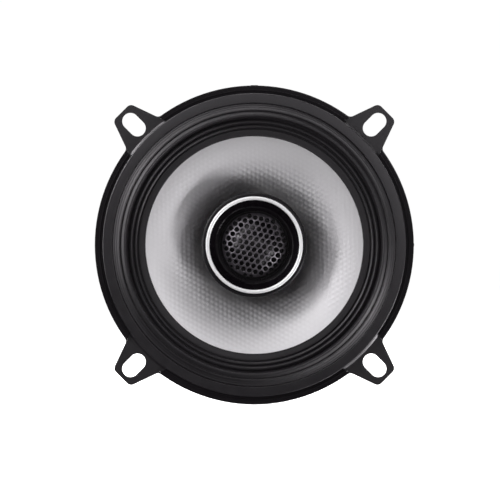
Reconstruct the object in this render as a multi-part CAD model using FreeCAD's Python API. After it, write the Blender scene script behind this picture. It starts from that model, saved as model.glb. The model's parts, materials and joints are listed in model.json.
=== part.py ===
import FreeCAD, Part
import math
import os

# Coaxial car speaker, 13 cm (5 1/4 inch) class: a woofer with a stationary tweeter pod
# on a post through the voice coil.
#
# The profiles are drawn with r = distance from the speaker's axis and h = height in
# front of the panel that the speaker bolts to (h = 0 is the panel's front face).
# put() then turns the whole speaker to face -Y with +Z up, so world Y = -h.
# All lengths are in millimetres.

V = FreeCAD.Vector

# ---------------------------------------------------------------- driving dimensions
RIM_R = 65.6              # outside of the round rim, 131.2 mm across
SHEET = 1.0               # basket sheet steel
FLANGE_R = 64.4           # edge of the steel flange, under the trim ring
SEAT_H = 1.6              # raised seat that the surround is glued to
SPIGOT_R = 57.0           # outside of the basket collar that drops into the panel
SPIGOT_L = 7.0            # straight length of that collar behind the panel face

EAR_ANGLES = (45.0, 135.0, 225.0, 315.0)
EAR_TIP = 77.2            # axis to the flat end of an ear
EAR_TIP_HALF = 4.9        # half width at the tip
EAR_TAPER = 0.356         # half width gained per mm towards the axis
EAR_CORNER_R = 2.4
SLOT_R = 3.4              # half width of the screw slot
SLOT_LEN = 10.9           # end to end, along the ear
SLOT_CENTRE = 70.0        # 140 mm circle

WIN_R0, WIN_R1 = 39.6, 54.6    # basket windows, radial extent
WIN_HALF_DEG = 30.0            # four windows, four 30 degree legs behind the ears

SHELF_H = -19.1           # front of the ledge that holds the spider
SHELF_R0, SHELF_R1 = 31.2, 37.6
FLOOR_H = -25.6           # front of the basket floor
FLOOR_R0 = 15.5

CONE_R = 44.8             # visible edge of the cone
CONE_LAND = 47.2          # glued land under the surround
CONE_EDGE_H = 0.95
CONE_SLOPE = 0.21         # slope at the edge
CONE_CURVE = 0.01081      # curvature of the flare
CONE_T = 0.4
NECK_R = 13.1             # where the flare meets the neck
STROKE = 4.5              # travel each way

FORMER_R0, FORMER_R1 = 12.45, 12.65
FORMER_TOP, FORMER_BOTTOM = -16.4, -34.6
COIL_R1 = 13.3
COIL_TOP, COIL_BOTTOM = -24.2, -34.2

PLATE_R0, PLATE_R1 = 13.95, 37.5
PLATE_TOP, PLATE_BOTTOM = -26.6, -31.6
MAGNET_R0, MAGNET_R1 = 20.0, 40.0
MAGNET_BOTTOM = -43.6
YOKE_R = 37.5
YOKE_BOTTOM = -48.6
POLE_R = 12.05
POLE_BORE = 5.3

COVER_R0, COVER_R1 = 40.25, 41.75
COVER_FRONT, COVER_INNER, COVER_BACK = -37.5, -50.5, -52.0

POST_R = 5.2
POST_COLUMN_R = 7.5
POST_CHANNEL_R = 2.2
POD_R = 21.6
POD_BOTTOM = -11.2
RING_R0, RING_R1 = 18.45, 19.95
RING_FRONT = 5.5
MESH_R = 13.7
MESH_RIM_R = 14.2
MESH_BASE_H, MESH_APEX_H = 0.5, 6.3
MESH_T = 0.45
MESH_PITCH = 2.51
MESH_HOLE_R = 0.95
MESH_ROW_DEG = -13.2
MESH_SHIFT = (-0.81, 0.45)      # nearest hole to the axis
MESH_EDGE_R = 13.5              # the holes stop here, and shrink to fit
MESH_EDGE_AT = (0.3, -0.25)     # the field of holes sits slightly off the axis
TW_COIL_R0, TW_COIL_R1 = 10.1, 10.5

os.makedirs("parts", exist_ok=True)


# ---------------------------------------------------------------- helpers
def rev(pts, deg=360.0, start=0.0):
    """A ring: the closed r,h outline turned about the speaker's axis."""
    ring = Part.makePolygon([V(r, 0, h) for r, h in pts] + [V(pts[0][0], 0, pts[0][1])])
    s = Part.Face(ring).revolve(V(0, 0, 0), V(0, 0, 1), deg)
    if start:
        s.rotate(V(0, 0, 0), V(0, 0, 1), start)
    return s


def cyl(r, h0, h1, x=0.0, y=0.0):
    return Part.makeCylinder(r, abs(h1 - h0), V(x, y, min(h0, h1)), V(0, 0, 1))


def ring(r0, r1, h0, h1):
    return rev([(r0, h0), (r1, h0), (r1, h1), (r0, h1)])


def box(x0, x1, y0, y1, h0, h1):
    return Part.makeBox(x1 - x0, y1 - y0, h1 - h0, V(x0, y0, h0))


def prism(pts, h0, h1):
    w = Part.makePolygon([V(x, y, h0) for x, y in pts] + [V(pts[0][0], pts[0][1], h0)])
    return Part.Face(w).extrude(V(0, 0, h1 - h0))


def turned(shape, deg):
    s = shape.copy()
    s.rotate(V(0, 0, 0), V(0, 0, 1), deg)
    return s


def fuse(first, *rest):
    s = first.fuse(list(rest)) if rest else first
    return s.removeSplitter()


def soft_path(pts, bend):
    """A polyline through pts with its corners rounded to the radius bend."""
    pts = [V(*p) for p in pts]
    edges, last = [], pts[0]
    for i in range(1, len(pts) - 1):
        a, p, b = pts[i - 1], pts[i], pts[i + 1]
        u, w = (a - p), (b - p)
        lu, lw = u.Length, w.Length
        u.normalize()
        w.normalize()
        ang = math.acos(max(-1.0, min(1.0, u.dot(w))))
        if math.pi - ang < 0.02:
            continue
        t = bend / math.tan(ang / 2)
        t = min(t, 0.48 * lu, 0.48 * lw)
        rr = t * math.tan(ang / 2)
        s, e = p + u * t, p + w * t
        bis = (u + w)
        bis.normalize()
        centre = p + bis * (rr / math.sin(ang / 2))
        mid = centre - bis * rr
        if (s - last).Length > 1e-6:
            edges.append(Part.makeLine(last, s))
        edges.append(Part.Arc(s, mid, e).toShape())
        last = e
    if (pts[-1] - last).Length > 1e-6:
        edges.append(Part.makeLine(last, pts[-1]))
    return Part.Wire(edges)


def tube(pts, r, bend):
    """A round wire of radius r along the rounded path."""
    path = soft_path(pts, bend)
    d = V(*pts[1]) - V(*pts[0])
    d.normalize()
    prof = Part.Wire([Part.makeCircle(r, V(*pts[0]), d)])
    return path.makePipeShell([prof], True, False)


def put(shape):
    s = shape.copy()
    s.rotate(V(0, 0, 0), V(1, 0, 0), 90)
    return s


def save(name, *shapes):
    """One STEP per node. Several shapes make one node of separate solids."""
    solids = []
    for s in shapes:
        solids += s.Solids
    out = put(solids[0]) if len(solids) == 1 else put(Part.makeCompound(solids))
    if not out.isValid():
        print("not valid:", name)
    out.exportStep("parts/" + name + ".step")
    print(name, len(solids), round(sum(x.Volume for x in solids), 2))


def cone_front(r):
    d = CONE_R - r
    return CONE_EDGE_H - (CONE_SLOPE * d + CONE_CURVE * d * d)


# ---------------------------------------------------------------- basket
def ear_outline(grow=0.0, root=60.0):
    half = EAR_TIP_HALF + grow
    return [
        (EAR_TIP + grow, half),
        (root, half + EAR_TAPER * (EAR_TIP + grow - root)),
        (root, -half - EAR_TAPER * (EAR_TIP + grow - root)),
        (EAR_TIP + grow, -half),
    ]


def ear(h0, h1, grow=0.0, root=60.0, corners=True):
    s = prism(ear_outline(grow, root), h0, h1)
    if corners:
        tips = [e for e in s.Edges if abs(e.Length - abs(h1 - h0)) < 1e-6
                and abs(e.Vertexes[0].X - e.Vertexes[1].X) < 1e-6 and e.Vertexes[0].X > EAR_TIP - 1]
        s = s.makeFillet(EAR_CORNER_R, tips)
    return s


def slot(h0, h1):
    d = SLOT_LEN / 2 - SLOT_R
    a = cyl(SLOT_R, h0, h1, SLOT_CENTRE - d)
    b = cyl(SLOT_R, h0, h1, SLOT_CENTRE + d)
    return fuse(a, b, box(SLOT_CENTRE - d, SLOT_CENTRE + d, -SLOT_R, SLOT_R, h0, h1))


front = [
    (63.6, SHEET), (63.3, SHEET), (63.2, SHEET + 0.04), (62.5, SHEET + 0.53), (62.3, SHEET + 0.59),
    (61.9, SEAT_H), (57.4, SEAT_H), (56.7, 1.42), (56.2, 0.95), (56.0, 0.3),
    (56.0, -7.3), (55.75, -7.9), (55.3, -8.35),
    (SHELF_R1 + 0.9, SHELF_H + 0.65), (SHELF_R1 + 0.4, SHELF_H + 0.2), (SHELF_R1, SHELF_H),
    (SHELF_R0, SHELF_H), (30.6, SHELF_H - 0.25), (30.3, SHELF_H - 0.8),
    (30.2, FLOOR_H + 0.5), (29.8, FLOOR_H + 0.1), (29.4, FLOOR_H), (FLOOR_R0, FLOOR_H),
]
back = [
    (FLOOR_R0, PLATE_TOP), (30.2, PLATE_TOP), (30.9, PLATE_TOP + 0.35), (31.2, PLATE_TOP + 1.0),
    (31.3, SHELF_H - 1.5), (31.5, SHELF_H - 1.1), (32.0, SHELF_H - SHEET),
    (SHELF_R1 + 0.2, SHELF_H - SHEET), (SHELF_R1 + 0.9, SHELF_H - 0.8), (SHELF_R1 + 1.5, SHELF_H - 0.4),
    (56.3, -8.95), (56.8, -8.3), (SPIGOT_R, -SPIGOT_L),
    (SPIGOT_R, 0.0), (57.15, 0.38), (57.6, SEAT_H - SHEET), (62.0, SEAT_H - SHEET),
    (62.45, 0.46), (62.85, 0.12), (63.15, 0.0), (63.6, 0.0),
]
basket = rev(front + back)
plate = ring(63.2, FLANGE_R, 0.0, SHEET)


def ear_roots():
    """The swept corners where the sides of the ears meet the round rim."""
    outline = fuse(cyl(RIM_R + 0.02, 0.0, SHEET), *[turned(ear(0.0, SHEET, corners=False), a) for a in EAR_ANGLES])
    edges = []
    for e in outline.Edges:
        p, q = e.Vertexes[0].Point, e.Vertexes[-1].Point
        if abs(p.x - q.x) < 1e-6 and abs(p.y - q.y) < 1e-6 and abs(math.hypot(p.x, p.y) - RIM_R - 0.02) < 0.02:
            edges.append(e)
    swept = outline.makeFillet(2.2, edges).cut(cyl(RIM_R + 0.02, -1, 3))
    return swept.cut(cyl(90.0, -1, 3).cut(cyl(70.0, -2, 4)))


ears = []
for a in EAR_ANGLES:
    e = ear(0.0, SHEET).cut(cyl(63.2, -1, 3)).cut(slot(-1, 3))
    ears.append(turned(e, a))
roots = ear_roots()
for a in EAR_ANGLES:
    roots = roots.cut(turned(slot(-1, 3), a))
basket = fuse(basket, plate, *ears, *roots.Solids)

# windows between the legs, and a raised rib down the middle of every leg
for a in (0.0, 90.0, 180.0, 270.0):
    w = rev([(WIN_R0, -30), (WIN_R1, -30), (WIN_R1, -2), (WIN_R0, -2)], 2 * WIN_HALF_DEG, a - WIN_HALF_DEG)
    edges = [e for e in w.Edges if abs(e.Vertexes[0].Z - e.Vertexes[-1].Z) > 20]
    w = w.makeFillet(3.0, edges)
    basket = basket.cut(w)
for a in EAR_ANGLES:
    rib = rev([(40.2, -18.6), (41.0, -19.0), (53.0, -11.2), (54.3, -10.3), (54.3, -9.6), (40.2, -18.0)], 8.0, a - 4.0)
    basket = basket.fuse(rib)

# tongue of the ledge that carries the terminal board, and its rivet holes
basket = basket.fuse(box(-4.5, 4.5, -49.0, -36.0, SHELF_H - SHEET, SHELF_H)).removeSplitter()
BOARD_RIVETS = ((0.0, -42.2), (0.0, -46.9))
for x, y in BOARD_RIVETS:
    basket = basket.cut(cyl(1.25, SHELF_H - 3, SHELF_H + 2, x, y))
RIVET_R = 26.0
rivet_at = [(RIVET_R * math.cos(math.radians(a)), RIVET_R * math.sin(math.radians(a))) for a in EAR_ANGLES]
for x, y in rivet_at:
    basket = basket.cut(cyl(1.6, PLATE_TOP - 1, FLOOR_H + 1, x, y))
save("basket", basket)

rivets = []
for x, y in rivet_at:
    head = rev([(0, FLOOR_H), (2.7, FLOOR_H), (2.6, FLOOR_H + 0.5), (1.9, FLOOR_H + 0.95), (0.9, FLOOR_H + 1.15), (0, FLOOR_H + 1.2)])
    shank = cyl(1.5, FLOOR_H, PLATE_TOP - 3.0)
    s = fuse(head, shank)
    s.translate(V(x, y, 0))
    rivets.append(s)
save("basket_rivets", *rivets)

# ---------------------------------------------------------------- trim ring round the flange
trim = rev([
    (58.5, 2.1), (58.5, 2.5), (62.35, 2.5), (62.45, 1.8), (63.3, 1.8), (63.42, 1.96), (63.8, 1.96),
    (63.92, 1.8), (65.3, 1.74), (RIM_R, 1.44), (RIM_R, 0.1), (64.55, 0.1), (64.55, 1.12),
    (63.2, 1.12), (62.55, 1.6), (62.1, 1.75), (62.0, 2.1),
])
for a in EAR_ANGLES:
    trim = trim.cut(turned(ear(-1.0, 4.0, 0.02, 58.0, corners=False).cut(cyl(62.12, -2.0, 5.0)), a))
# two locating nubs on the edge, at the top and at the right
trim = trim.fuse([
    prism([(-1.65, 65.1), (1.65, 65.1), (1.45, 65.75), (-1.45, 65.75)], 0.1, 0.85),
    prism([(65.1, -1.4), (65.45, -1.4), (65.75, -0.25), (65.75, 0.25), (65.45, 1.4), (65.1, 1.4)], 0.1, 0.85),
]).removeSplitter()
save("trim_ring", trim)

# ---------------------------------------------------------------- front gasket
save("front_gasket", rev([(58.2, 2.5), (62.2, 2.5), (62.3, 2.6), (62.3, 3.1), (62.05, 3.3), (58.45, 3.45), (58.2, 3.25)]))

# ---------------------------------------------------------------- surround
# a ribbed roll that rises outwards: three ribs, steep on the inside, then a bevel down to the gasket
top = [
    (CONE_R, 1.0), (CONE_R, 1.4), (45.0, 1.52), (47.4, 1.6), (47.7, 1.38), (47.95, 1.22),
    (48.35, 2.0), (48.6, 2.26), (48.85, 2.3), (49.2, 2.16), (49.75, 1.78),
    (50.15, 2.95), (50.35, 3.3), (50.6, 3.4), (51.0, 3.28), (52.1, 2.55),
    (52.6, 4.25), (52.85, 4.75), (53.2, 4.95), (53.6, 4.84), (54.9, 4.0),
    (55.25, 4.4), (55.5, 4.56), (55.7, 4.53), (58.0, 3.3), (58.15, 3.1), (58.15, 2.3), (58.3, 2.1), (61.9, 2.1),
]
under = [
    (61.9, 1.6), (58.3, 1.6), (57.75, 1.75), (57.5, 2.9), (55.75, 3.85), (55.35, 3.78), (54.9, 3.3),
    (53.6, 4.15), (53.2, 4.25), (52.9, 4.0), (52.2, 1.9), (50.9, 2.72), (50.6, 2.78), (50.35, 2.6),
    (49.85, 1.2), (49.1, 1.66), (48.8, 1.7), (48.5, 1.4), (48.1, 0.72), (47.8, 0.72), (47.4, 1.0),
]
surround = rev(top + under)
save("surround", surround)

# ---------------------------------------------------------------- cone
N = 28
fr = [(NECK_R + (CONE_R - NECK_R) * i / N) for i in range(N + 1)]
fpts = [V(r, 0, cone_front(r)) for r in fr]
bpts = [V(r, 0, cone_front(r) - CONE_T) for r in reversed(fr)]
sf = Part.BSplineCurve()
sf.interpolate(fpts)
sb = Part.BSplineCurve()
sb.interpolate(bpts)
e = [
    sf.toShape(),
    Part.makeLine(fpts[-1], V(CONE_LAND, 0, CONE_EDGE_H)),
    Part.makeLine(V(CONE_LAND, 0, CONE_EDGE_H), V(CONE_LAND, 0, CONE_EDGE_H - CONE_T)),
    Part.makeLine(V(CONE_LAND, 0, CONE_EDGE_H - CONE_T), bpts[0]),
    sb.toShape(),
    Part.makeLine(bpts[-1], V(NECK_R, 0, -17.9)),
    Part.makeLine(V(NECK_R, 0, -17.9), V(FORMER_R1 + 0.03, 0, -17.9)),
    Part.makeLine(V(FORMER_R1 + 0.03, 0, -17.9), V(FORMER_R1 + 0.03, 0, cone_front(NECK_R) - 0.15)),
    Part.makeLine(V(FORMER_R1 + 0.03, 0, cone_front(NECK_R) - 0.15), fpts[0]),
]
cone = Part.Face(Part.Wire(Part.__sortEdges__(e))).revolve(V(0, 0, 0), V(0, 0, 1), 360)
save("cone", cone)

# ---------------------------------------------------------------- spider
SP_H = SHELF_H + 0.2          # middle of the cloth
wave_top, wave_bottom = [], []
M = 60
for i in range(M + 1):
    r = 13.2 + (31.0 - 13.2) * i / M
    env = min(1.0, (r - 13.2) / 1.5, (31.0 - r) / 1.5)
    h = SP_H + 0.85 * env * math.sin(2 * math.pi * (r - 13.2) / 3.56)
    wave_top.append((r, h + 0.2))
    wave_bottom.append((r, h - 0.2))
spider = rev(
    [(FORMER_R1 + 0.03, SP_H - 0.7), (FORMER_R1 + 0.03, SP_H + 0.85), (13.0, SP_H + 0.85)]
    + wave_top + [(36.6, SP_H + 0.2), (36.6, SP_H - 0.2)] + list(reversed(wave_bottom)) + [(13.0, SP_H - 0.7)]
)
save("spider", spider)

# ---------------------------------------------------------------- voice coil
save("voice_coil_former", ring(FORMER_R0, FORMER_R1, FORMER_BOTTOM, FORMER_TOP))
save("voice_coil_winding", ring(FORMER_R1 + 0.02, COIL_R1, COIL_BOTTOM, COIL_TOP))

# ---------------------------------------------------------------- magnet system
tp = rev([(PLATE_R0, PLATE_BOTTOM), (PLATE_R1 - 0.6, PLATE_BOTTOM), (PLATE_R1, PLATE_BOTTOM + 0.6), (PLATE_R1, PLATE_TOP - 0.6), (PLATE_R1 - 0.6, PLATE_TOP), (PLATE_R0, PLATE_TOP)])
for x, y in rivet_at:
    tp = tp.cut(cyl(1.52, PLATE_TOP - 3.1, PLATE_TOP + 1, x, y))
save("top_plate", tp)
save("ferrite_magnet", rev([
    (MAGNET_R0, MAGNET_BOTTOM), (MAGNET_R1 - 0.9, MAGNET_BOTTOM), (MAGNET_R1, MAGNET_BOTTOM + 0.9),
    (MAGNET_R1, PLATE_BOTTOM - 0.9), (MAGNET_R1 - 0.9, PLATE_BOTTOM), (MAGNET_R0, PLATE_BOTTOM)]))
save("pole_yoke", rev([
    (POLE_BORE, PLATE_TOP), (POLE_R - 0.5, PLATE_TOP), (POLE_R, PLATE_TOP - 0.5), (POLE_R, MAGNET_BOTTOM),
    (YOKE_R - 0.3, MAGNET_BOTTOM), (YOKE_R, MAGNET_BOTTOM - 0.3), (YOKE_R, YOKE_BOTTOM + 1.0), (YOKE_R - 1.0, YOKE_BOTTOM),
    (8.4, YOKE_BOTTOM), (8.4, -45.6), (POLE_BORE, -45.6)]))

# ---------------------------------------------------------------- rear cover with its wire duct
cover = rev([
    (COVER_R0, COVER_FRONT), (COVER_R0, COVER_INNER), (0, COVER_INNER), (0, COVER_BACK + 0.5),
    (15.5, COVER_BACK + 0.5), (16.1, COVER_BACK), (31.6, COVER_BACK), (32.0, COVER_BACK + 0.45), (33.2, COVER_BACK + 0.45),
    (33.6, COVER_BACK), (COVER_R1 - 2.2, COVER_BACK), (COVER_R1 - 1.0, COVER_BACK + 0.35), (COVER_R1 - 0.3, COVER_BACK + 1.0),
    (COVER_R1, COVER_BACK + 2.2), (COVER_R1, COVER_FRONT + 0.4), (COVER_R1 - 0.4, COVER_FRONT)])
cover = fuse(
    cover,
    ring(30.0, 31.2, COVER_INNER - 0.2, YOKE_BOTTOM),
    ring(14.0, 15.2, COVER_INNER - 0.2, YOKE_BOTTOM),
    box(-3.6, 3.6, -44.4, -41.0, COVER_BACK + 0.9, COVER_FRONT),
)
cover = cover.cut(box(-2.2, 2.2, -43.0, -9.0, COVER_INNER, COVER_FRONT + 1)).removeSplitter()
save("rear_cover", cover)

# ---------------------------------------------------------------- tweeter post, washer, nut
post = rev([
    (POST_CHANNEL_R, -8.5), (3.95, -8.5), (3.95, POD_BOTTOM), (6.6, POD_BOTTOM), (POST_COLUMN_R, -13.0),
    (POST_COLUMN_R, PLATE_TOP), (POST_R, PLATE_TOP), (POST_R, -44.0), (4.8, -44.3), (4.8, -48.4), (POST_CHANNEL_R, -48.4)])
save("tweeter_post", post)
save("post_washer", ring(4.95, 7.9, -45.9, -45.6))
hexa = prism([(7.3 * math.cos(math.radians(60 * k + 30)), 7.3 * math.sin(math.radians(60 * k + 30))) for k in range(6)], -48.35, -45.9)
save("post_nut", hexa.cut(cyl(4.85, -49, -45)))

# ---------------------------------------------------------------- tweeter pod
housing = rev([
    (4.05, POD_BOTTOM), (12.2, POD_BOTTOM), (POD_R - 0.25, -4.35), (POD_R, -3.9), (POD_R, 2.3), (POD_R - 0.12, 2.75),
    (POD_R - 0.45, 3.15), (POD_R - 0.95, 3.35), (20.2, 3.4), (18.36, 3.4), (18.36, 2.6), (20.5, 2.6),
    (20.55, -1.4), (19.2, -1.4), (19.2, -2.2), (20.2, -3.2), (20.0, -3.9), (11.7, -9.8), (4.05, -9.8)])
save("tweeter_housing", housing)
hnut = prism([(6.2 * math.cos(math.radians(60 * k)), 6.2 * math.sin(math.radians(60 * k))) for k in range(6)], -9.8, -8.6)
save("housing_nut", hnut.cut(cyl(4.0, -10, -8)))

save("tweeter_trim_ring", rev([
    (RING_R0, 3.4), (RING_R1, 3.4), (RING_R1, 4.75), (RING_R1 - 0.15, 5.15), (RING_R1 - 0.42, 5.4), (19.2, RING_FRONT),
    (18.9, 5.46), (18.62, 5.28), (RING_R0, 5.0)]))
save("tweeter_funnel", rev([
    (18.32, 4.75), (17.9, 4.2), (17.2, 3.25), (16.6, 2.45), (16.15, 1.88), (15.8, 1.6), (15.4, 1.46), (14.25, 1.42),
    (14.25, 0.62), (15.3, 0.62), (15.95, 0.82), (16.9, 1.9), (17.4, 2.6), (18.32, 2.6)]))
save("tweeter_face_plate", ring(12.65, 20.5, -1.4, -0.2))

# woven dome grille with its round holes
R_OUT = (MESH_R ** 2 + (MESH_APEX_H - MESH_BASE_H) ** 2) / (2 * (MESH_APEX_H - MESH_BASE_H))
cz = MESH_APEX_H - R_OUT


def dome_h(r, off=0.0):
    return cz + math.sqrt(max(0.0, (R_OUT - off) ** 2 - r * r))


g_top = [(0.0, MESH_APEX_H)] + [(MESH_R * i / 14, dome_h(MESH_R * i / 14)) for i in range(1, 15)]
g_bot = [(MESH_R * i / 14, dome_h(MESH_R * i / 14, MESH_T)) for i in range(13, 0, -1)] + [(0.0, MESH_APEX_H - MESH_T)]
a0, a1 = V(0, 0, MESH_APEX_H), V(MESH_R, 0, MESH_BASE_H)
am = V(MESH_R * 0.5, 0, dome_h(MESH_R * 0.5))
ri = math.sqrt((R_OUT - MESH_T) ** 2 - (0.12 - cz) ** 2)
b1, b0 = V(ri, 0, 0.12), V(0, 0, MESH_APEX_H - MESH_T)
bm = V(ri * 0.5, 0, dome_h(ri * 0.5, MESH_T))
e = [
    Part.Arc(a0, am, a1).toShape(),
    Part.makeLine(a1, V(MESH_RIM_R, 0, MESH_BASE_H)),
    Part.makeLine(V(MESH_RIM_R, 0, MESH_BASE_H), V(MESH_RIM_R, 0, 0.12)),
    Part.makeLine(V(MESH_RIM_R, 0, 0.12), b1),
    Part.Arc(b1, bm, b0).toShape(),
    Part.makeLine(b0, a0),
]
grille = Part.Face(Part.Wire(Part.__sortEdges__(e))).revolve(V(0, 0, 0), V(0, 0, 1), 360)
holes = []
ca, sa = math.cos(math.radians(MESH_ROW_DEG)), math.sin(math.radians(MESH_ROW_DEG))
for j in range(-8, 9):
    for i in range(-8, 9):
        x = MESH_PITCH * (i + 0.5 * (j % 2))
        y = MESH_PITCH * math.sqrt(3) / 2 * j
        X, Y = x * ca - y * sa + MESH_SHIFT[0], x * sa + y * ca + MESH_SHIFT[1]
        r = min(MESH_HOLE_R, MESH_EDGE_R - math.hypot(X - MESH_EDGE_AT[0], Y - MESH_EDGE_AT[1]))
        if r > 0.4:
            holes.append(cyl(r, -1.0, 8.0, X, Y))
grille = grille.cut(Part.makeCompound(holes))
save("tweeter_grille", grille)

save("tweeter_yoke_cup", rev([(0, -7.2), (12.2, -7.2), (12.6, -6.8), (12.6, -0.4), (10.85, -0.4), (10.85, -5.8), (0, -5.8)]))
save("tweeter_magnet", cyl(9.2, -5.8, -2.4))
save("tweeter_pole_plate", rev([(0, -2.4), (9.75, -2.4), (9.75, -0.4), (0, -0.4)]))
save("tweeter_damping_pad", rev([(0, -0.4), (8.0, -0.4), (8.0, 0.2), (7.6, 0.55), (0, 0.75)]))
save("tweeter_voice_coil", ring(TW_COIL_R0, TW_COIL_R1, -3.2, 0.1))

# soft dome, roll and lip in one skin
DR = (10.0 ** 2 + 4.4 ** 2) / (2 * 4.4)
dc = 4.7 - DR
t_top = [(10.0 * i / 12, dc + math.sqrt(DR ** 2 - (10.0 * i / 12) ** 2)) for i in range(0, 13)]
t_roll = [(10.55 + 0.85 * (1 - math.cos(math.pi * i / 8)), 0.28 - 0.33 * i / 8 + 0.62 * math.sin(math.pi * i / 8)) for i in range(0, 9)]
tops = t_top + t_roll + [(13.2, -0.05)]
bots = [(13.2, -0.2), (12.2, -0.2)] + [(r + (0.12 if r < 11.4 else -0.12) * (0 < k < 8), h - 0.15) for k, (r, h) in reversed(list(enumerate(t_roll[:-1])))] + [(r, h - 0.15) for r, h in reversed(t_top)]
save("tweeter_diaphragm", rev(tops + bots))

# solder lugs on the face plate
lugs = []
for s in (1, -1):
    lugs.append(box(s * 15.6 - 1.6, s * 15.6 + 1.6, -1.1, 1.1, -1.8, -1.4))
save("tweeter_lugs", *lugs)

# ---------------------------------------------------------------- terminal board
BOARD_TOP, BOARD_BACK = SHELF_H - SHEET, SHELF_H - SHEET - 1.6
board = box(-13.0, 13.0, -49.0, -38.4, BOARD_BACK, BOARD_TOP)
board = board.makeFillet(1.5, [e for e in board.Edges if abs(e.Vertexes[0].Z - e.Vertexes[-1].Z) > 1])
TAB_X, TAB_Y = 8.2, -44.6
for x, y in BOARD_RIVETS:
    board = board.cut(cyl(1.25, BOARD_BACK - 1, BOARD_TOP + 1, x, y))
for s in (1, -1):
    board = board.cut(cyl(1.25, BOARD_BACK - 1, BOARD_TOP + 1, s * TAB_X, TAB_Y))
save("terminal_board", board)


def rivet(x, y, top, bottom, head=1.9):
    """A tubular rivet with a low head at each end."""
    a = fuse(cyl(1.2, bottom - 0.05, top + 0.05), rev([(0, top), (head, top), (head - 0.2, top + 0.35), (head - 0.7, top + 0.5), (0, top + 0.5)]),
             rev([(0, bottom), (head, bottom), (head - 0.2, bottom - 0.35), (head - 0.7, bottom - 0.5), (0, bottom - 0.5)]))
    a.translate(V(x, y, 0))
    return a


save("board_rivets", *[rivet(x, y, SHELF_H, BOARD_BACK) for x, y in BOARD_RIVETS])


def spade(x, width, thick):
    """A push-on tab that lies behind the board and stands out of its edge, with its detent hole."""
    w = width / 2
    s = prism([(x - w, -40.0), (x - w, -55.0), (x - w + 0.9, -56.2), (x + w - 0.9, -56.2), (x + w, -55.0), (x + w, -40.0),
               (x + w - 0.8, -39.2), (x - w + 0.8, -39.2)], BOARD_BACK - thick, BOARD_BACK)
    s = s.cut(cyl(1.25, BOARD_BACK - 3, BOARD_BACK + 1, x, TAB_Y))
    s = s.cut(cyl(0.7, BOARD_BACK - 3, BOARD_BACK + 1, x, -52.8))
    return s


TAB_T = 0.8
save("positive_terminal", spade(TAB_X, 4.8, TAB_T))
save("negative_terminal", spade(-TAB_X, 2.8, TAB_T))
save("terminal_rivets", *[rivet(s * TAB_X, TAB_Y, BOARD_TOP, BOARD_BACK - TAB_T, 1.9 if s > 0 else 1.6) for s in (1, -1)])

# ---------------------------------------------------------------- flexible leads from the cone to the board
pads, leads = [], []
for s in (1, -1):
    px, py = s * 4.4, -17.4
    ph = cone_front(math.hypot(px, py)) - CONE_T
    pad = cyl(1.3, ph - 1.4, ph + 0.6, px, py)
    pad = pad.cut(rev([(NECK_R, cone_front(NECK_R) - CONE_T)] + [(r, cone_front(r) - CONE_T) for r in fr[1:]] + [(CONE_R, 6.0), (NECK_R, 6.0)]))
    pads.append(pad)
    leads.append(tube([
        (px, py, ph - 1.95), (s * 4.9, -21.5, ph - 2.1), (s * 6.4, -31.0, -14.2), (s * 7.8, -38.5, -15.2),
        (s * TAB_X, -43.2, -17.3), (s * TAB_X, TAB_Y, BOARD_TOP + 0.8)], 0.5, 5.0))
save("lead_pads", *pads)
save("lead_positive", leads[0])
save("lead_negative", leads[1])

# ---------------------------------------------------------------- tweeter feed: capacitor and wires
CAP_A = math.radians(307.0)
CAP_RAD, CAP_H, CAP_BODY_R, CAP_L = 41.6, -23.75, 3.15, 11.0
rad = V(math.cos(CAP_A), math.sin(CAP_A), 0)
tan = V(-math.sin(CAP_A), math.cos(CAP_A), 0)       # points away from the board
c0 = rad * CAP_RAD + V(0, 0, CAP_H) - tan * (CAP_L / 2)
cap = Part.makeCylinder(CAP_BODY_R, CAP_L, c0, tan)
cap = cap.makeFillet(0.5, [e for e in cap.Edges if len(e.Vertexes) == 1])
groove = Part.makeTorus(CAP_BODY_R + 0.25, 0.5, c0 + tan * 1.5, tan)
cap = cap.cut(groove)
save("crossover_capacitor", cap)
pad = Part.makeBox(5.0, 7.0, 5.0)
pad.translate(V(-3.2, -3.5, 0.6))
pad.rotate(V(0, 0, 0), V(0, 0, 1), 307.0)
pad.translate(rad * CAP_RAD + V(0, 0, CAP_H))
pad = pad.cut(Part.makeCylinder(CAP_BODY_R + 0.02, CAP_L + 8, c0 - tan * 4, tan))
pad = pad.cut(rev([(36, -10), (60, 10), (60, 30), (20, 30), (20, -19.0), (36, -19.0)]))
keep = rev([(30.0, SHELF_H - SHEET - 0.02), (SHELF_R1 + 0.2, SHELF_H - SHEET - 0.02), (SHELF_R1 + 0.92, SHELF_H - 0.83), (SHELF_R1 + 1.52, SHELF_H - 0.43),
            (56.3, -8.98), (56.3, -40), (30.0, -40)])
pad = pad.common(keep).cut(basket)
pad = max(pad.Solids, key=lambda s: s.Volume)
save("capacitor_adhesive", pad)

lead_a = c0 + rad * -1.25
lead_b = c0 + rad * 1.25
SPLICE = V(9.9, -41.9, -25.3)
a_pts = [tuple(lead_a), tuple(lead_a - tan * 3.2), (11.6, -40.2, -23.6), (9.4, -40.35, -22.95), (8.3, -40.5, -22.95)]
b_pts = [tuple(lead_b), tuple(lead_b - tan * 2.6), (13.6, -41.9, -25.3), tuple(SPLICE)]
save("capacitor_leads", tube(a_pts, 0.3, 1.2), tube(b_pts, 0.3, 1.2))

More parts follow.
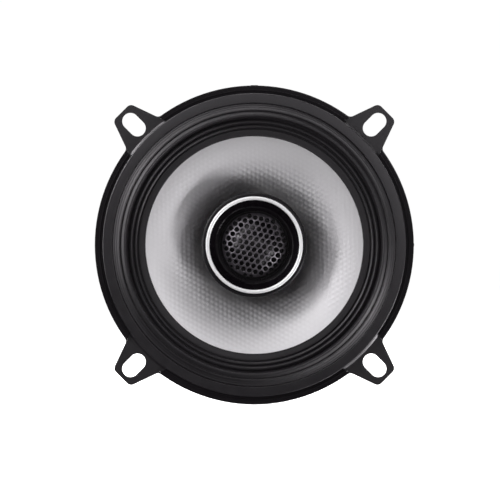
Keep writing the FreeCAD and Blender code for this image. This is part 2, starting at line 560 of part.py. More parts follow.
WR = 0.5
GAP_H = -7.85                      # run under the tweeter cup
BACK_H = -49.55                    # run between yoke and cover
for s, name in ((1, "tweeter_wire_positive"), (-1, "tweeter_wire_negative")):
    x = s * 1.0
    start = [(s * 15.6, 0, -1.85), (s * 15.6, 0, -6.1), (s * 12.6, 0, GAP_H), (x, 0, GAP_H), (x, 0, BACK_H), (x, -41.75, BACK_H)]
    if s > 0:
        end = [(x, -41.75, -27.5), (2.6, -41.9, -25.3), (SPLICE.x - 0.05, SPLICE.y, SPLICE.z)]
    else:
        end = [(x, -41.75, -26.0), (-4.2, -41.3, -24.2), (-7.6, -41.0, -23.1), (-9.3, -40.6, -23.05)]
    save(name, tube(start + end, WR, 1.15))
sl = Part.makeCylinder(0.95, 3.6, SPLICE - V(1.9, 0, 0), V(1, 0, 0))
core = Part.makeCylinder(0.55, 5, SPLICE - V(4.0, 0, 0), V(1, 0, 0)).fuse(Part.makeCylinder(0.55, 5, SPLICE - V(1.0, 0, 0), V(1, 0, 0)))
save("wire_splice_sleeve", sl.cut(core))
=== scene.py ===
import json
import math
import bmesh
import bpy
import numpy as np
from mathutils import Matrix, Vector
from mathutils.geometry import delaunay_2d_cdt

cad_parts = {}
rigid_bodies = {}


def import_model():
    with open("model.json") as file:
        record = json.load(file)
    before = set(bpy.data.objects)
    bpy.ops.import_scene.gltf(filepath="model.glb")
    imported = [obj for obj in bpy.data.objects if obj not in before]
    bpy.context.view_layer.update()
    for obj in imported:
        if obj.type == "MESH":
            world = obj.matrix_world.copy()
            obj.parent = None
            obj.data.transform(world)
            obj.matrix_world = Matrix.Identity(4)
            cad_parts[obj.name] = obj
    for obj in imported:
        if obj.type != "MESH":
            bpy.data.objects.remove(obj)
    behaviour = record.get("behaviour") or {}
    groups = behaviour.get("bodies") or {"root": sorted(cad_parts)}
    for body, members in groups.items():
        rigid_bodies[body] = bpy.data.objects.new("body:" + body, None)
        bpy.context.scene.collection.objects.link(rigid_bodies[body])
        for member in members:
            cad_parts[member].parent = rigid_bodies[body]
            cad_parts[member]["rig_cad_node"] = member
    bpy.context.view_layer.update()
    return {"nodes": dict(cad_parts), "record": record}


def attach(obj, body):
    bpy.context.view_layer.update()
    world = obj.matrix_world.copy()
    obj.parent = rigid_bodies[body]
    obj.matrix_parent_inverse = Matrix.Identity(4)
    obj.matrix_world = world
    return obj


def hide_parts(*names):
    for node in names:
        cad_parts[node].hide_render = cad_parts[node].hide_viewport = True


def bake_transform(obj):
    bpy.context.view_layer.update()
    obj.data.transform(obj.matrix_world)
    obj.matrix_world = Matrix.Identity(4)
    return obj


# Coaxial car speaker. The speaker faces -Y with +Z up, and the panel plane is y = 0.
# Local points are written in millimetres as (x, up, h), with h in front of the panel,
# so a local point sits at (x, -h, up) / 1000 in the row frame.

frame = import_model()
NODES = frame["nodes"]
MM = 0.001
TAU = 2 * math.pi
EARS = (45.0, 135.0, 225.0, 315.0)


# ------------------------------------------------------------------ mesh helpers
def to_row(v):
    v = np.asarray(v, float).reshape(-1, 3)
    return np.stack([v[:, 0], -v[:, 2], v[:, 1]], 1) * MM


def build(name, v, faces, weld=False, sharp=40.0):
    me = bpy.data.meshes.new(name)
    me.from_pydata(to_row(v).tolist(), [], [tuple(int(i) for i in f) for f in faces])
    if weld:
        bm = bmesh.new()
        bm.from_mesh(me)
        bmesh.ops.remove_doubles(bm, verts=bm.verts, dist=2e-7)
        bm.to_mesh(me)
        bm.free()
    me.update()
    me.shade_smooth()
    me.set_sharp_from_angle(angle=math.radians(sharp))
    ob = bpy.data.objects.new(name, me)
    bpy.context.scene.collection.objects.link(ob)
    return ob


def grid_faces(k, n, wrap_k, flip=False, base=0):
    idx = np.arange(k * n).reshape(k, n) + base
    up = np.roll(idx, -1, 0) if wrap_k else idx[1:]
    lo = idx if wrap_k else idx[:-1]
    a, b, c, d = lo, np.roll(lo, -1, 1), np.roll(up, -1, 1), up
    f = np.stack([a, d, c, b] if flip else [a, b, c, d], -1).reshape(-1, 4)
    return f


def ring_points(prof, n):
    p = np.asarray(prof, float)
    a = np.arange(n) * TAU / n
    v = np.empty((len(p), n, 3))
    v[..., 0] = p[:, 0:1] * np.cos(a)
    v[..., 1] = p[:, 0:1] * np.sin(a)
    v[..., 2] = p[:, 1:2]
    return v


def outline_area(p):
    p = np.asarray(p, float)
    q = np.roll(p, -1, 0)
    return 0.5 * float(np.sum(p[:, 0] * q[:, 1] - q[:, 0] * p[:, 1]))


def lathe(name, prof, n=240, closed=True, sharp=40.0, at=(0.0, 0.0)):
    """A turned piece: the r,h outline swept round the axis, or round an axis at `at`."""
    p = np.asarray([q[:2] for q in prof], float)
    v = ring_points(p, n).reshape(-1, 3)
    v[:, 0] += at[0]
    v[:, 1] += at[1]
    f = grid_faces(len(p), n, closed, flip=outline_area(p) < 0)
    return build(name, v, f, weld=not closed, sharp=sharp)


def soften(pts, rad=0.15, seg=3, least=16.0, closed=True):
    """Rounds the corners of an outline. A point may carry its own radius as a third number."""
    out, n = [], len(pts)
    for i in range(n):
        p = np.array(pts[i][:2], float)
        if not closed and i in (0, n - 1):
            out.append(tuple(p))
            continue
        a, b = np.array(pts[i - 1][:2], float), np.array(pts[(i + 1) % n][:2], float)
        la, lb = np.linalg.norm(a - p), np.linalg.norm(b - p)
        u, w = (a - p) / la, (b - p) / lb
        turn = math.pi - math.acos(max(-1.0, min(1.0, float(u @ w))))
        r = pts[i][2] if len(pts[i]) > 2 else rad
        if math.degrees(turn) < least or r <= 0:
            out.append(tuple(p))
            continue
        t = min(r * math.tan(turn / 2), 0.46 * la, 0.46 * lb)
        s, e = p + u * t, p + w * t
        for k in range(seg + 1):
            x = k / seg
            out.append(tuple((1 - x) ** 2 * s + 2 * x * (1 - x) * p + x * x * e))
    return out


def smooth_path(pts, step=0.5):
    """A Catmull-Rom line through the points, resampled evenly."""
    p = np.asarray(pts, float)
    p = np.vstack([2 * p[0] - p[1], p, 2 * p[-1] - p[-2]])
    fine = []
    for i in range(1, len(p) - 2):
        p0, p1, p2, p3 = p[i - 1], p[i], p[i + 1], p[i + 2]
        d01, d12, d23 = [max(np.linalg.norm(b - a), 1e-6) ** 0.5 for a, b in ((p0, p1), (p1, p2), (p2, p3))]
        m1 = (p1 - p0) / d01 - (p2 - p0) / (d01 + d12) + (p2 - p1) / d12
        m2 = (p2 - p1) / d12 - (p3 - p1) / (d12 + d23) + (p3 - p2) / d23
        m1, m2 = m1 * d12, m2 * d12
        for t in np.linspace(0, 1, 40, endpoint=False):
            fine.append((2 * t ** 3 - 3 * t * t + 1) * p1 + (t ** 3 - 2 * t * t + t) * m1
                        + (-2 * t ** 3 + 3 * t * t) * p2 + (t ** 3 - t * t) * m2)
    fine.append(p[-2])
    fine = np.array(fine)
    s = np.concatenate([[0], np.cumsum(np.linalg.norm(np.diff(fine, axis=0), axis=1))])
    n = max(3, int(s[-1] / step) + 1)
    t = np.linspace(0, s[-1], n)
    return np.stack([np.interp(t, s, fine[:, k]) for k in range(3)], 1), t


def rounded_path(pts, bend, step=0.4):
    """A polyline with its corners rounded, resampled evenly."""
    pts = [np.array(p, float) for p in pts]
    fine = [pts[0]]
    for i in range(1, len(pts) - 1):
        a, p, b = pts[i - 1], pts[i], pts[i + 1]
        la, lb = np.linalg.norm(a - p), np.linalg.norm(b - p)
        u, w = (a - p) / la, (b - p) / lb
        ang = math.acos(max(-1.0, min(1.0, float(u @ w))))
        if math.pi - ang < 0.02:
            fine.append(p)
            continue
        t = min(bend / math.tan(ang / 2), 0.48 * la, 0.48 * lb)
        s, e = p + u * t, p + w * t
        rr = t * math.tan(ang / 2)
        bis = (u + w) / np.linalg.norm(u + w)
        c = p + bis * (rr / math.sin(ang / 2))
        sa, ea = s - c, e - c
        full = math.pi - ang
        for k in range(9):
            x = k / 8
            q = (math.sin((1 - x) * full) * sa + math.sin(x * full) * ea) / math.sin(full)
            fine.append(c + q)
    fine.append(pts[-1])
    fine = np.array(fine)
    s = np.concatenate([[0], np.cumsum(np.linalg.norm(np.diff(fine, axis=0), axis=1))])
    n = max(3, int(s[-1] / step) + 1)
    t = np.linspace(0, s[-1], n)
    return np.stack([np.interp(t, s, fine[:, k]) for k in range(3)], 1), t


def tube(name, path, s, radius, ring=14, ripple=None, caps=True):
    """A round piece along a path. ripple(s, theta) scales the radius."""
    n = len(path)
    tan = np.gradient(path, axis=0)
    tan /= np.linalg.norm(tan, axis=1)[:, None]
    nrm = np.zeros_like(path)
    ref = np.array([0.0, 0.0, 1.0]) if abs(tan[0][2]) < 0.9 else np.array([1.0, 0.0, 0.0])
    nrm[0] = np.cross(tan[0], ref)
    nrm[0] /= np.linalg.norm(nrm[0])
    for i in range(1, n):
        v = nrm[i - 1] - tan[i] * (nrm[i - 1] @ tan[i])
        nrm[i] = v / np.linalg.norm(v)
    bi = np.cross(tan, nrm)
    th = np.arange(ring) * TAU / ring
    scale = np.ones((n, ring)) if ripple is None else ripple(s[:, None], th[None, :])
    r = radius * scale
    v = path[:, None, :] + r[..., None] * (np.cos(th)[None, :, None] * nrm[:, None, :] + np.sin(th)[None, :, None] * bi[:, None, :])
    f = [tuple(q) for q in grid_faces(n, ring, False)]
    v = v.reshape(-1, 3)
    if caps:
        f.append(tuple(reversed(range(ring))))
        f.append(tuple(range((n - 1) * ring, n * ring)))
    ob = build(name, v, f, sharp=50)
    bm = bmesh.new()
    bm.from_mesh(ob.data)
    bmesh.ops.recalc_face_normals(bm, faces=bm.faces)
    bm.to_mesh(ob.data)
    bm.free()
    return ob


def join(name, parts):
    vs, fs, base = [], [], 0
    for o in parts:
        me = o.data
        co = np.zeros(len(me.vertices) * 3)
        me.vertices.foreach_get("co", co)
        vs.append(co.reshape(-1, 3))
        fs += [tuple(i + base for i in p.vertices) for p in me.polygons]
        base += len(me.vertices)
    for o in parts:
        bpy.data.objects.remove(o)
    me = bpy.data.meshes.new(name)
    me.from_pydata(np.vstack(vs).tolist(), [], fs)
    me.update()
    me.shade_smooth()
    me.set_sharp_from_angle(angle=math.radians(40))
    ob = bpy.data.objects.new(name, me)
    bpy.context.scene.collection.objects.link(ob)
    return ob


# ------------------------------------------------------------------ material helpers
class Look:
    """One procedural material on a Principled shader, in object coordinates (metres)."""

    def __init__(self, name, base, rough, metal=0.0, spec=0.5, **fixed):
        self.m = bpy.data.materials.new(name)
        self.m.use_nodes = True
        self.t = self.m.node_tree
        self.b = self.t.nodes["Principled BSDF"]
        self.base, self.rough = base, rough
        self.b.inputs["Base Color"].default_value = (*base, 1)
        self.b.inputs["Roughness"].default_value = rough
        self.b.inputs["Metallic"].default_value = metal
        self.b.inputs["Specular IOR Level"].default_value = spec
        if metal < 0.5:
            self.b.inputs["Specular Tint"].default_value = (0.99, 0.955, 1.0, 1.0)
        for k, v in fixed.items():
            self.b.inputs[k.replace("_", " ")].default_value = v
        self.co = self.n("ShaderNodeTexCoord").outputs["Object"]
        self.m.diffuse_color = (*base, 1)

    def n(self, kind, **props):
        x = self.t.nodes.new(kind)
        for k, v in props.items():
            setattr(x, k, v)
        return x

    def link(self, a, b):
        self.t.links.new(a, b)

    def math(self, op, a, b=None, c=None):
        x = self.n("ShaderNodeMath", operation=op)
        for i, v in enumerate((a, b, c)):
            if v is None:
                continue
            if isinstance(v, (int, float)):
                x.inputs[i].default_value = v
            else:
                self.link(v, x.inputs[i])
        return x.outputs[0]

    def axes(self):
        if not hasattr(self, "_axes"):
            s = self.n("ShaderNodeSeparateXYZ")
            self.link(self.co, s.inputs[0])
            self._axes = s.outputs["X"], s.outputs["Y"], s.outputs["Z"]
        return self._axes

    def polar(self):
        """(radius in mm, angle in radians) about the speaker's axis."""
        if not hasattr(self, "_polar"):
            x, _, z = self.axes()
            r = self.math("MULTIPLY", self.math("SQRT", self.math("ADD", self.math("MULTIPLY", x, x), self.math("MULTIPLY", z, z))), 1000.0)
            self._polar = r, self.math("ARCTAN2", z, x)
        return self._polar

    def noise(self, size_mm, detail=3.0, rough=0.5, stretch=None, seed=0.0):
        x = self.n("ShaderNodeTexNoise")
        x.inputs["Scale"].default_value = 1.0
        x.inputs["Detail"].default_value = detail
        x.inputs["Roughness"].default_value = rough
        m = self.n("ShaderNodeMapping")
        k = 1000.0 / size_mm
        sx, sy, sz = stretch or (1, 1, 1)
        m.inputs["Scale"].default_value = (k * sx, k * sy, k * sz)
        m.inputs["Location"].default_value = (seed, seed * 1.7, seed * 0.6)
        self.link(self.co, m.inputs["Vector"])
        self.link(m.outputs[0], x.inputs["Vector"])
        return x.outputs["Fac"]

    def ring_noise(self, along_mm, across_mm, seed=0.0):
        """Streaks that run round the axis: long along the arc, short across it."""
        r, a = self.polar()
        c = self.n("ShaderNodeCombineXYZ")
        self.link(self.math("MULTIPLY", r, 1.0 / across_mm), c.inputs[0])
        self.link(self.math("MULTIPLY", self.math("MULTIPLY", a, r), 1.0 / along_mm), c.inputs[1])
        c.inputs[2].default_value = seed
        x = self.n("ShaderNodeTexNoise")
        x.inputs["Scale"].default_value = 1.0
        x.inputs["Detail"].default_value = 2.0
        self.link(c.outputs[0], x.inputs["Vector"])
        return x.outputs["Fac"]

    def tint(self, fac, low, high, lo=0.3, hi=0.7):
        """Colour from low to high as fac goes from lo to hi. low and high scale the base colour."""
        x = self.n("ShaderNodeValToRGB")
        x.color_ramp.elements[0].position, x.color_ramp.elements[1].position = lo, hi
        a = low if isinstance(low, tuple) else tuple(c * low for c in self.base)
        b = high if isinstance(high, tuple) else tuple(c * high for c in self.base)
        x.color_ramp.elements[0].color = (*a, 1)
        x.color_ramp.elements[1].color = (*b, 1)
        self.link(fac, x.inputs[0])
        self.link(x.outputs[0], self.b.inputs["Base Color"])
        return self

    def gloss(self, fac, low, high):
        x = self.n("ShaderNodeMapRange")
        x.inputs["From Min"].default_value, x.inputs["From Max"].default_value = 0.3, 0.7
        x.inputs["To Min"].default_value, x.inputs["To Max"].default_value = low, high
        self.link(fac, x.inputs["Value"])
        self.link(x.outputs[0], self.b.inputs["Roughness"])
        return self

    def bump(self, fac, height_mm, strength=1.0):
        x = self.n("ShaderNodeBump")
        x.inputs["Strength"].default_value = strength
        x.inputs["Distance"].default_value = height_mm * MM
        self.link(fac, x.inputs["Height"])
        old = self.b.inputs["Normal"].links
        if old:
            self.link(old[0].from_socket, x.inputs["Normal"])
        self.link(x.outputs[0], self.b.inputs["Normal"])
        return self

    def wave(self, direction_deg, period_mm, phase=0.0):
        """cos of a plane wave in the plane of the panel."""
        x, _, z = self.axes()
        k = TAU / period_mm * 1000.0
        a = math.radians(direction_deg)
        return self.math("COSINE", self.math("ADD", self.math("ADD", self.math("MULTIPLY", x, k * math.cos(a)), self.math("MULTIPLY", z, k * math.sin(a))), phase))


def satin(name, base, rough, metal=0.0, spec=0.5, grain=0.5, depth=0.004, var=0.12, rvar=0.07, wide=14.0, **fixed):
    """A moulded, painted or plated surface: fine texture, slow colour drift and uneven gloss."""
    k = Look(name, base, rough, metal, spec, **fixed)
    slow = k.noise(wide, 2.0, seed=3.1)
    k.tint(slow, 1 - var, 1 + var)
    k.gloss(k.noise(wide * 0.35, 4.0, 0.6, seed=7.7), max(0.02, rough - rvar), rough + rvar)
    if depth:
        k.bump(k.noise(grain, 3.0, 0.6), depth)
    return k


M = {}

# satin black powder paint with slight orange peel
k = satin("basket_paint", (0.0082, 0.0072, 0.0086), 0.345, spec=0.68, grain=0.7, depth=0.006, var=0.10, rvar=0.03)
k.bump(k.noise(0.16, 2.0, seed=11.0), 0.002)
M["basket_paint"] = k.m

k = satin("trim_plastic", (0.0041, 0.0032, 0.0043), 0.46, spec=0.14, grain=0.25, depth=0.003, var=0.15, rvar=0.04)
M["trim_plastic"] = k.m

# moulded gasket: fine fibrous grain, no shine
k = Look("gasket_foam", (0.0060, 0.0050, 0.0064), 0.36, 0.0, 0.66)
g = k.noise(0.45, 4.0, 0.7)
k.tint(g, 0.78, 1.2, 0.32, 0.68)
k.gloss(k.noise(3.0, 2.0, seed=4.0), 0.335, 0.385)
k.bump(g, 0.006).bump(k.noise(4.0, 2.0, seed=9.0), 0.008)
M["gasket_foam"] = k.m

# rubber roll: satin with faint flow lines that follow the roll
k = Look("surround_rubber", (0.0064, 0.0054, 0.0067), 0.42, 0.0, 0.49)
flow = k.ring_noise(26.0, 0.35)
k.tint(k.noise(9.0, 3.0, seed=2.0), 0.85, 1.18)
k.gloss(flow, 0.43, 0.49)
k.bump(k.noise(0.3, 3.0, 0.6), 0.003).bump(flow, 0.004)
M["surround_rubber"] = k.m

# metallised woven cone
WEAVE = 1.778            # distance between rows of the weave, mm
WEAVE_DEG = 1.5
k = Look("cone_silver", (0.770, 0.751, 0.777), 0.45, 1.0, 0.5)
w = None
for d in (0.0, 60.0, 120.0):
    c = k.wave(d + WEAVE_DEG, WEAVE)
    w = c if w is None else k.math("ADD", w, c)
node = k.math("MULTIPLY_ADD", w, 0.16, 0.52)
thread = k.math("ADD", k.math("MULTIPLY", k.wave(31.5, 0.42), 0.5), k.math("MULTIPLY", k.wave(91.5, 0.42), 0.5))
fibre = k.math("MULTIPLY_ADD", thread, 0.10, k.math("MULTIPLY_ADD", k.noise(0.35, 2.0), 0.10, k.math("MULTIPLY", node, 0.85)))
k.tint(fibre, (0.772, 0.753, 0.779), (0.788, 0.769, 0.796), 0.2, 0.8)
k.gloss(k.noise(0.9, 3.0, seed=5.0), 0.435, 0.465)
k.bump(fibre, 0.006, 0.8)
M["cone_silver"] = k.m

# resin-treated cotton: plain weave in the plane of the cloth
k = Look("spider_cloth", (0.50, 0.35, 0.13), 0.82, 0.0, 0.3, Sheen_Weight=0.25, Sheen_Roughness=0.5)
wv = k.math("MULTIPLY", k.wave(0.0, 0.55), k.wave(90.0, 0.55))
wf = k.math("MULTIPLY_ADD", wv, 0.35, k.math("MULTIPLY_ADD", k.noise(2.5, 3.0), 0.4, 0.3))
k.tint(wf, (0.36, 0.235, 0.075), (0.62, 0.45, 0.19), 0.2, 0.8)
k.gloss(k.noise(1.5, 2.0), 0.72, 0.9)
k.bump(wv, 0.035)
M["spider_cloth"] = k.m

M["former_film"] = satin("former_film", (0.42, 0.20, 0.035), 0.26, 0.0, 0.5, grain=0.8, depth=0.002, var=0.18, Coat_Weight=0.3).m

# enamelled wire, with the turns in the shape; the colour also goes darker and lighter once per 0.3 mm turn, a painted
# shade and highlight on each turn
k = Look("copper_wire", (0.66, 0.27, 0.10), 0.26, 1.0)
_, yy, _ = k.axes()
# painted shade and highlight: colour darkens and lightens once per turn
turn = k.math("SINE", k.math("MULTIPLY", yy, TAU / 0.0003))
k.tint(k.math("MULTIPLY_ADD", turn, 0.3, k.math("MULTIPLY_ADD", k.noise(3.0), 0.4, 0.3)), (0.42, 0.15, 0.05), (0.78, 0.36, 0.15), 0.2, 0.8)
k.gloss(k.noise(2.0), 0.2, 0.34)
M["copper_wire"] = k.m

# zinc-plated steel: turned faces with fine lathe rings
k = Look("plated_steel", (0.52, 0.53, 0.55), 0.34, 1.0)
turned = k.ring_noise(60.0, 0.12)
k.tint(k.noise(7.0, 4.0, seed=1.0), (0.42, 0.43, 0.44), (0.60, 0.61, 0.63))
k.gloss(turned, 0.26, 0.42)
k.bump(turned, 0.004)
M["plated_steel"] = k.m

k = satin("ferrite", (0.036, 0.036, 0.038), 0.55, 0.0, 0.5, grain=0.22, depth=0.012, var=0.2, rvar=0.08, wide=5.0)
k.bump(k.noise(2.2, 5.0, 0.7, seed=6.0), 0.02)
M["ferrite"] = k.m

M["cover_rubber"] = satin("cover_rubber", (0.016, 0.016, 0.0175), 0.46, grain=0.35, depth=0.012, var=0.14, rvar=0.06).m
M["post_aluminium"] = satin("post_aluminium", (0.72, 0.73, 0.75), 0.32, 1.0, grain=0.3, depth=0.003, var=0.06, rvar=0.08).m
M["nut_steel"] = satin("nut_steel", (0.58, 0.58, 0.60), 0.28, 1.0, grain=0.4, depth=0.004, var=0.10, rvar=0.08).m
M["pod_plastic"] = satin("pod_plastic", (0.0050, 0.0043, 0.0053), 0.36, spec=0.2, grain=0.2, depth=0.002, var=0.15, rvar=0.05).m

# satin silver ring, finely brushed across its face
k = Look("ring_chrome", (0.87, 0.865, 0.875), 0.42, 0.55, 0.6)
r_, a_ = k.polar()
spoke = k.n("ShaderNodeTexNoise")
spoke.inputs["Scale"].default_value = 1.0
spoke.inputs["Detail"].default_value = 2.0
cmb = k.n("ShaderNodeCombineXYZ")
k.link(k.math("MULTIPLY", r_, 0.35), cmb.inputs[0])
k.link(k.math("MULTIPLY", a_, 95.0), cmb.inputs[1])
k.link(cmb.outputs[0], spoke.inputs["Vector"])
k.tint(spoke.outputs["Fac"], (0.84, 0.83, 0.845), (0.935, 0.925, 0.94))
k.gloss(spoke.outputs["Fac"], 0.36, 0.48)
k.bump(spoke.outputs["Fac"], 0.0015)
M["ring_chrome"] = k.m

M["funnel_gloss"] = satin("funnel_gloss", (0.0024, 0.0017, 0.0025), 0.26, 0.0, 0.17, grain=0.6, depth=0.0006, var=0.15, rvar=0.03).m

k = Look("mesh_black", (0.073, 0.066, 0.076), 0.34, 0.6, 0.5)
r_, a_ = k.polar()
# painted shade: the grille's colour falls to near black outside r 13.5 mm, at its rim beside the funnel
rim_shade = k.math("MAXIMUM", k.math("MINIMUM", k.math("MULTIPLY", k.math("SUBTRACT", 13.5, r_), 2.0), 1.0), 0.0)
k.tint(k.math("MULTIPLY", k.math("MULTIPLY_ADD", k.noise(1.2, 3.0), 0.8, 0.3), rim_shade), 0.12, 1.35, 0.05, 0.85)
k.gloss(k.noise(0.7, 3.0, seed=3.0), 0.28, 0.42)
k.bump(k.noise(0.22, 2.0), 0.004)
M["mesh_black"] = k.m

M["neodymium"] = satin("neodymium", (0.66, 0.66, 0.68), 0.24, 1.0, grain=0.6, depth=0.002, var=0.06, rvar=0.06).m

# polymer dome: smooth with a faint pressed weave
k = Look("soft_dome", (0.0040, 0.0036, 0.0042), 0.30, 0.0, 0.3)
fine = k.math("MULTIPLY", k.wave(20.0, 0.5), k.wave(110.0, 0.5))
k.tint(k.noise(2.0, 3.0), 0.8, 1.2)
k.gloss(k.noise(1.2, 2.0), 0.27, 0.34)
k.bump(fine, 0.003)
M["soft_dome"] = k.m

k = Look("felt", (0.30, 0.30, 0.29), 0.95, 0.0, 0.2, Sheen_Weight=0.4, Sheen_Roughness=0.6)
fl = k.noise(0.3, 5.0, 0.75)
k.tint(fl, 0.7, 1.25)
k.gloss(k.noise(2.0), 0.88, 0.98)
k.bump(fl, 0.08)
M["felt"] = k.m

# paper phenolic board: streaky brown with a cut edge
k = Look("phenolic", (0.21, 0.095, 0.035), 0.42, 0.0, 0.5)
st = k.noise(1.6, 5.0, 0.65, stretch=(0.25, 4.0, 1.0))
k.tint(st, (0.14, 0.058, 0.02), (0.29, 0.14, 0.055))
k.gloss(k.noise(1.0, 3.0), 0.34, 0.52)
k.bump(st, 0.01)
M["phenolic"] = k.m

k = Look("tinned_brass", (0.70, 0.66, 0.54), 0.28, 1.0)
k.tint(k.noise(2.2, 4.0), (0.62, 0.56, 0.40), (0.78, 0.76, 0.68))
k.gloss(k.noise(0.5, 3.0, stretch=(1, 1, 0.15)), 0.2, 0.38)
k.bump(k.noise(0.3, 2.0, stretch=(1, 1, 0.1)), 0.003)
M["tinned_brass"] = k.m

M["rivet_aluminium"] = satin("rivet_aluminium", (0.66, 0.67, 0.69), 0.30, 1.0, grain=0.3, depth=0.006, var=0.08, rvar=0.08, wide=3.0).m

k = Look("tinsel", (0.66, 0.36, 0.17), 0.34, 1.0)
k.tint(k.noise(0.35, 3.0), (0.40, 0.19, 0.08), (0.80, 0.50, 0.28))
k.gloss(k.noise(0.3), 0.26, 0.44)
M["tinsel"] = k.m

k = satin("cap_sleeve", (0.018, 0.045, 0.14), 0.22, 0.0, 0.5, grain=1.4, depth=0.006, var=0.12, rvar=0.05, wide=4.0, Coat_Weight=0.4)
M["cap_sleeve"] = k.m

k = Look("hot_melt", (0.66, 0.58, 0.38), 0.30, 0.0, 0.5, Subsurface_Weight=0.25, Subsurface_Scale=0.002)
k.tint(k.noise(2.0, 3.0), 0.85, 1.12)
k.gloss(k.noise(1.2, 2.0), 0.22, 0.4)
k.bump(k.noise(1.0, 2.0), 0.05)
M["hot_melt"] = k.m

M["tinned_wire"] = satin("tinned_wire", (0.66, 0.66, 0.66), 0.3, 1.0, grain=0.3, depth=0.003, var=0.08, wide=2.0).m
M["wire_red"] = satin("wire_red", (0.36, 0.012, 0.012), 0.34, grain=0.5, depth=0.004, var=0.14, wide=3.0).m
M["wire_black"] = satin("wire_black", (0.011, 0.011, 0.012), 0.36, grain=0.5, depth=0.004, var=0.14, wide=3.0).m
M["sleeve_black"] = satin("sleeve_black", (0.014, 0.014, 0.015), 0.40, grain=0.6, depth=0.008, var=0.14, wide=2.0).m

k = Look("paint_adhesive", (0.045, 0.035, 0.024), 0.30, 0.0, 0.5, Coat_Weight=0.3)
k.tint(k.noise(1.0, 3.0), 0.7, 1.3)
k.gloss(k.noise(0.8, 2.0), 0.2, 0.42)
k.bump(k.noise(0.9, 3.0), 0.05)
M["paint_adhesive"] = k.m

SOLDER = satin("solder", (0.62, 0.62, 0.63), 0.24, 1.0, grain=0.4, depth=0.008, var=0.1, wide=1.2)
M["solder"] = SOLDER.m


def dress(ob, slot):
    ob.data.materials.clear()
    ob.data.materials.append(M[slot])


# ------------------------------------------------------------------ carried-over CAD pieces
SLOT_OF = {}
for sub in frame["record"]["subparts"]:
    SLOT_OF[sub["node"]] = sub.get("material") or sub.get("material_slot")
for name, ob in NODES.items():
    slot = SLOT_OF.get(name)
    if slot in M:
        for i in range(max(1, len(ob.material_slots))):
            if ob.material_slots:
                ob.material_slots[i].material = M[slot]
            else:
                ob.data.materials.append(M[slot])


def ride_radially(ob):
    """Bakes the ring's placement into its mesh and returns it; it is not attached to a moving part or to the chassis.
    """
    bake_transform(ob)
    co = np.zeros(len(ob.data.vertices) * 3)
    ob.data.vertices.foreach_get("co", co)
    co = co.reshape(-1, 3) / MM
    ob.data.update()
    return ob


# ------------------------------------------------------------------ cone
CONE_R, EDGE_H, SLOPE, CURVE, CONE_T, NECK_R = 44.8, 0.95, 0.21, 0.01081, 0.4, 13.1


def cone_front(r):
    d = CONE_R - r
    return EDGE_H - (SLOPE * d + CURVE * d * d)


def make_cone():
    n = 720
    rf = np.concatenate([np.linspace(NECK_R, 20.0, 15)[:-1], np.linspace(20.0, 44.05, 84), [44.2, 44.32, 44.44, 44.56, 44.68, 44.8, 45.3, 46.2, 47.2]])
    hf = np.where(rf < CONE_R, cone_front(np.minimum(rf, CONE_R)), EDGE_H)
    # rolled rim line just inside the surround
    hf = hf + 0.025 * np.exp(-((rf - 44.42) / 0.16) ** 2)
    front = ring_points(np.stack([rf, hf], 1), n)
    # embossed weave
    w = 0
    for d in (0.0, 60.0, 120.0):
        a = math.radians(d + WEAVE_DEG)
        w = w + np.cos(TAU / WEAVE * (front[..., 0] * math.cos(a) + front[..., 1] * math.sin(a)))
    fade = np.clip((44.0 - rf) / 0.8, 0, 1) * np.clip((rf - 13.6) / 1.5, 0, 1) * np.clip(1.0 - (rf - 29.0) / 11.0, 0.36, 1.0)
    front[..., 2] += 0.026 * w * fade[:, None]
    rb = [47.2, 44.8, 41, 37, 33, 29, 25, 21, 17, 13.1]
    back = [(r, (cone_front(min(r, CONE_R)) if r < CONE_R else EDGE_H) - CONE_T) for r in rb]
    neck = [(13.1, -17.6), (13.0, -17.85), (12.85, -17.9), (12.7, -17.85), (12.68, -17.7), (12.68, cone_front(NECK_R) - 0.2), (12.8, cone_front(NECK_R) - 0.05)]
    rest = ring_points(np.array(back + neck), n)
    v = np.concatenate([front, rest], 0)
    k = v.shape[0]
    prof = np.concatenate([np.stack([rf, hf], 1), np.array(back + neck)], 0)
    f = grid_faces(k, n, True, flip=outline_area(prof) < 0)
    ob = build("cone_shell", v.reshape(-1, 3), f, sharp=50)
    dress(ob, "cone_silver")
    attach(ob, "cone_assembly")
    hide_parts("cone")
    return ob


cone = make_cone()


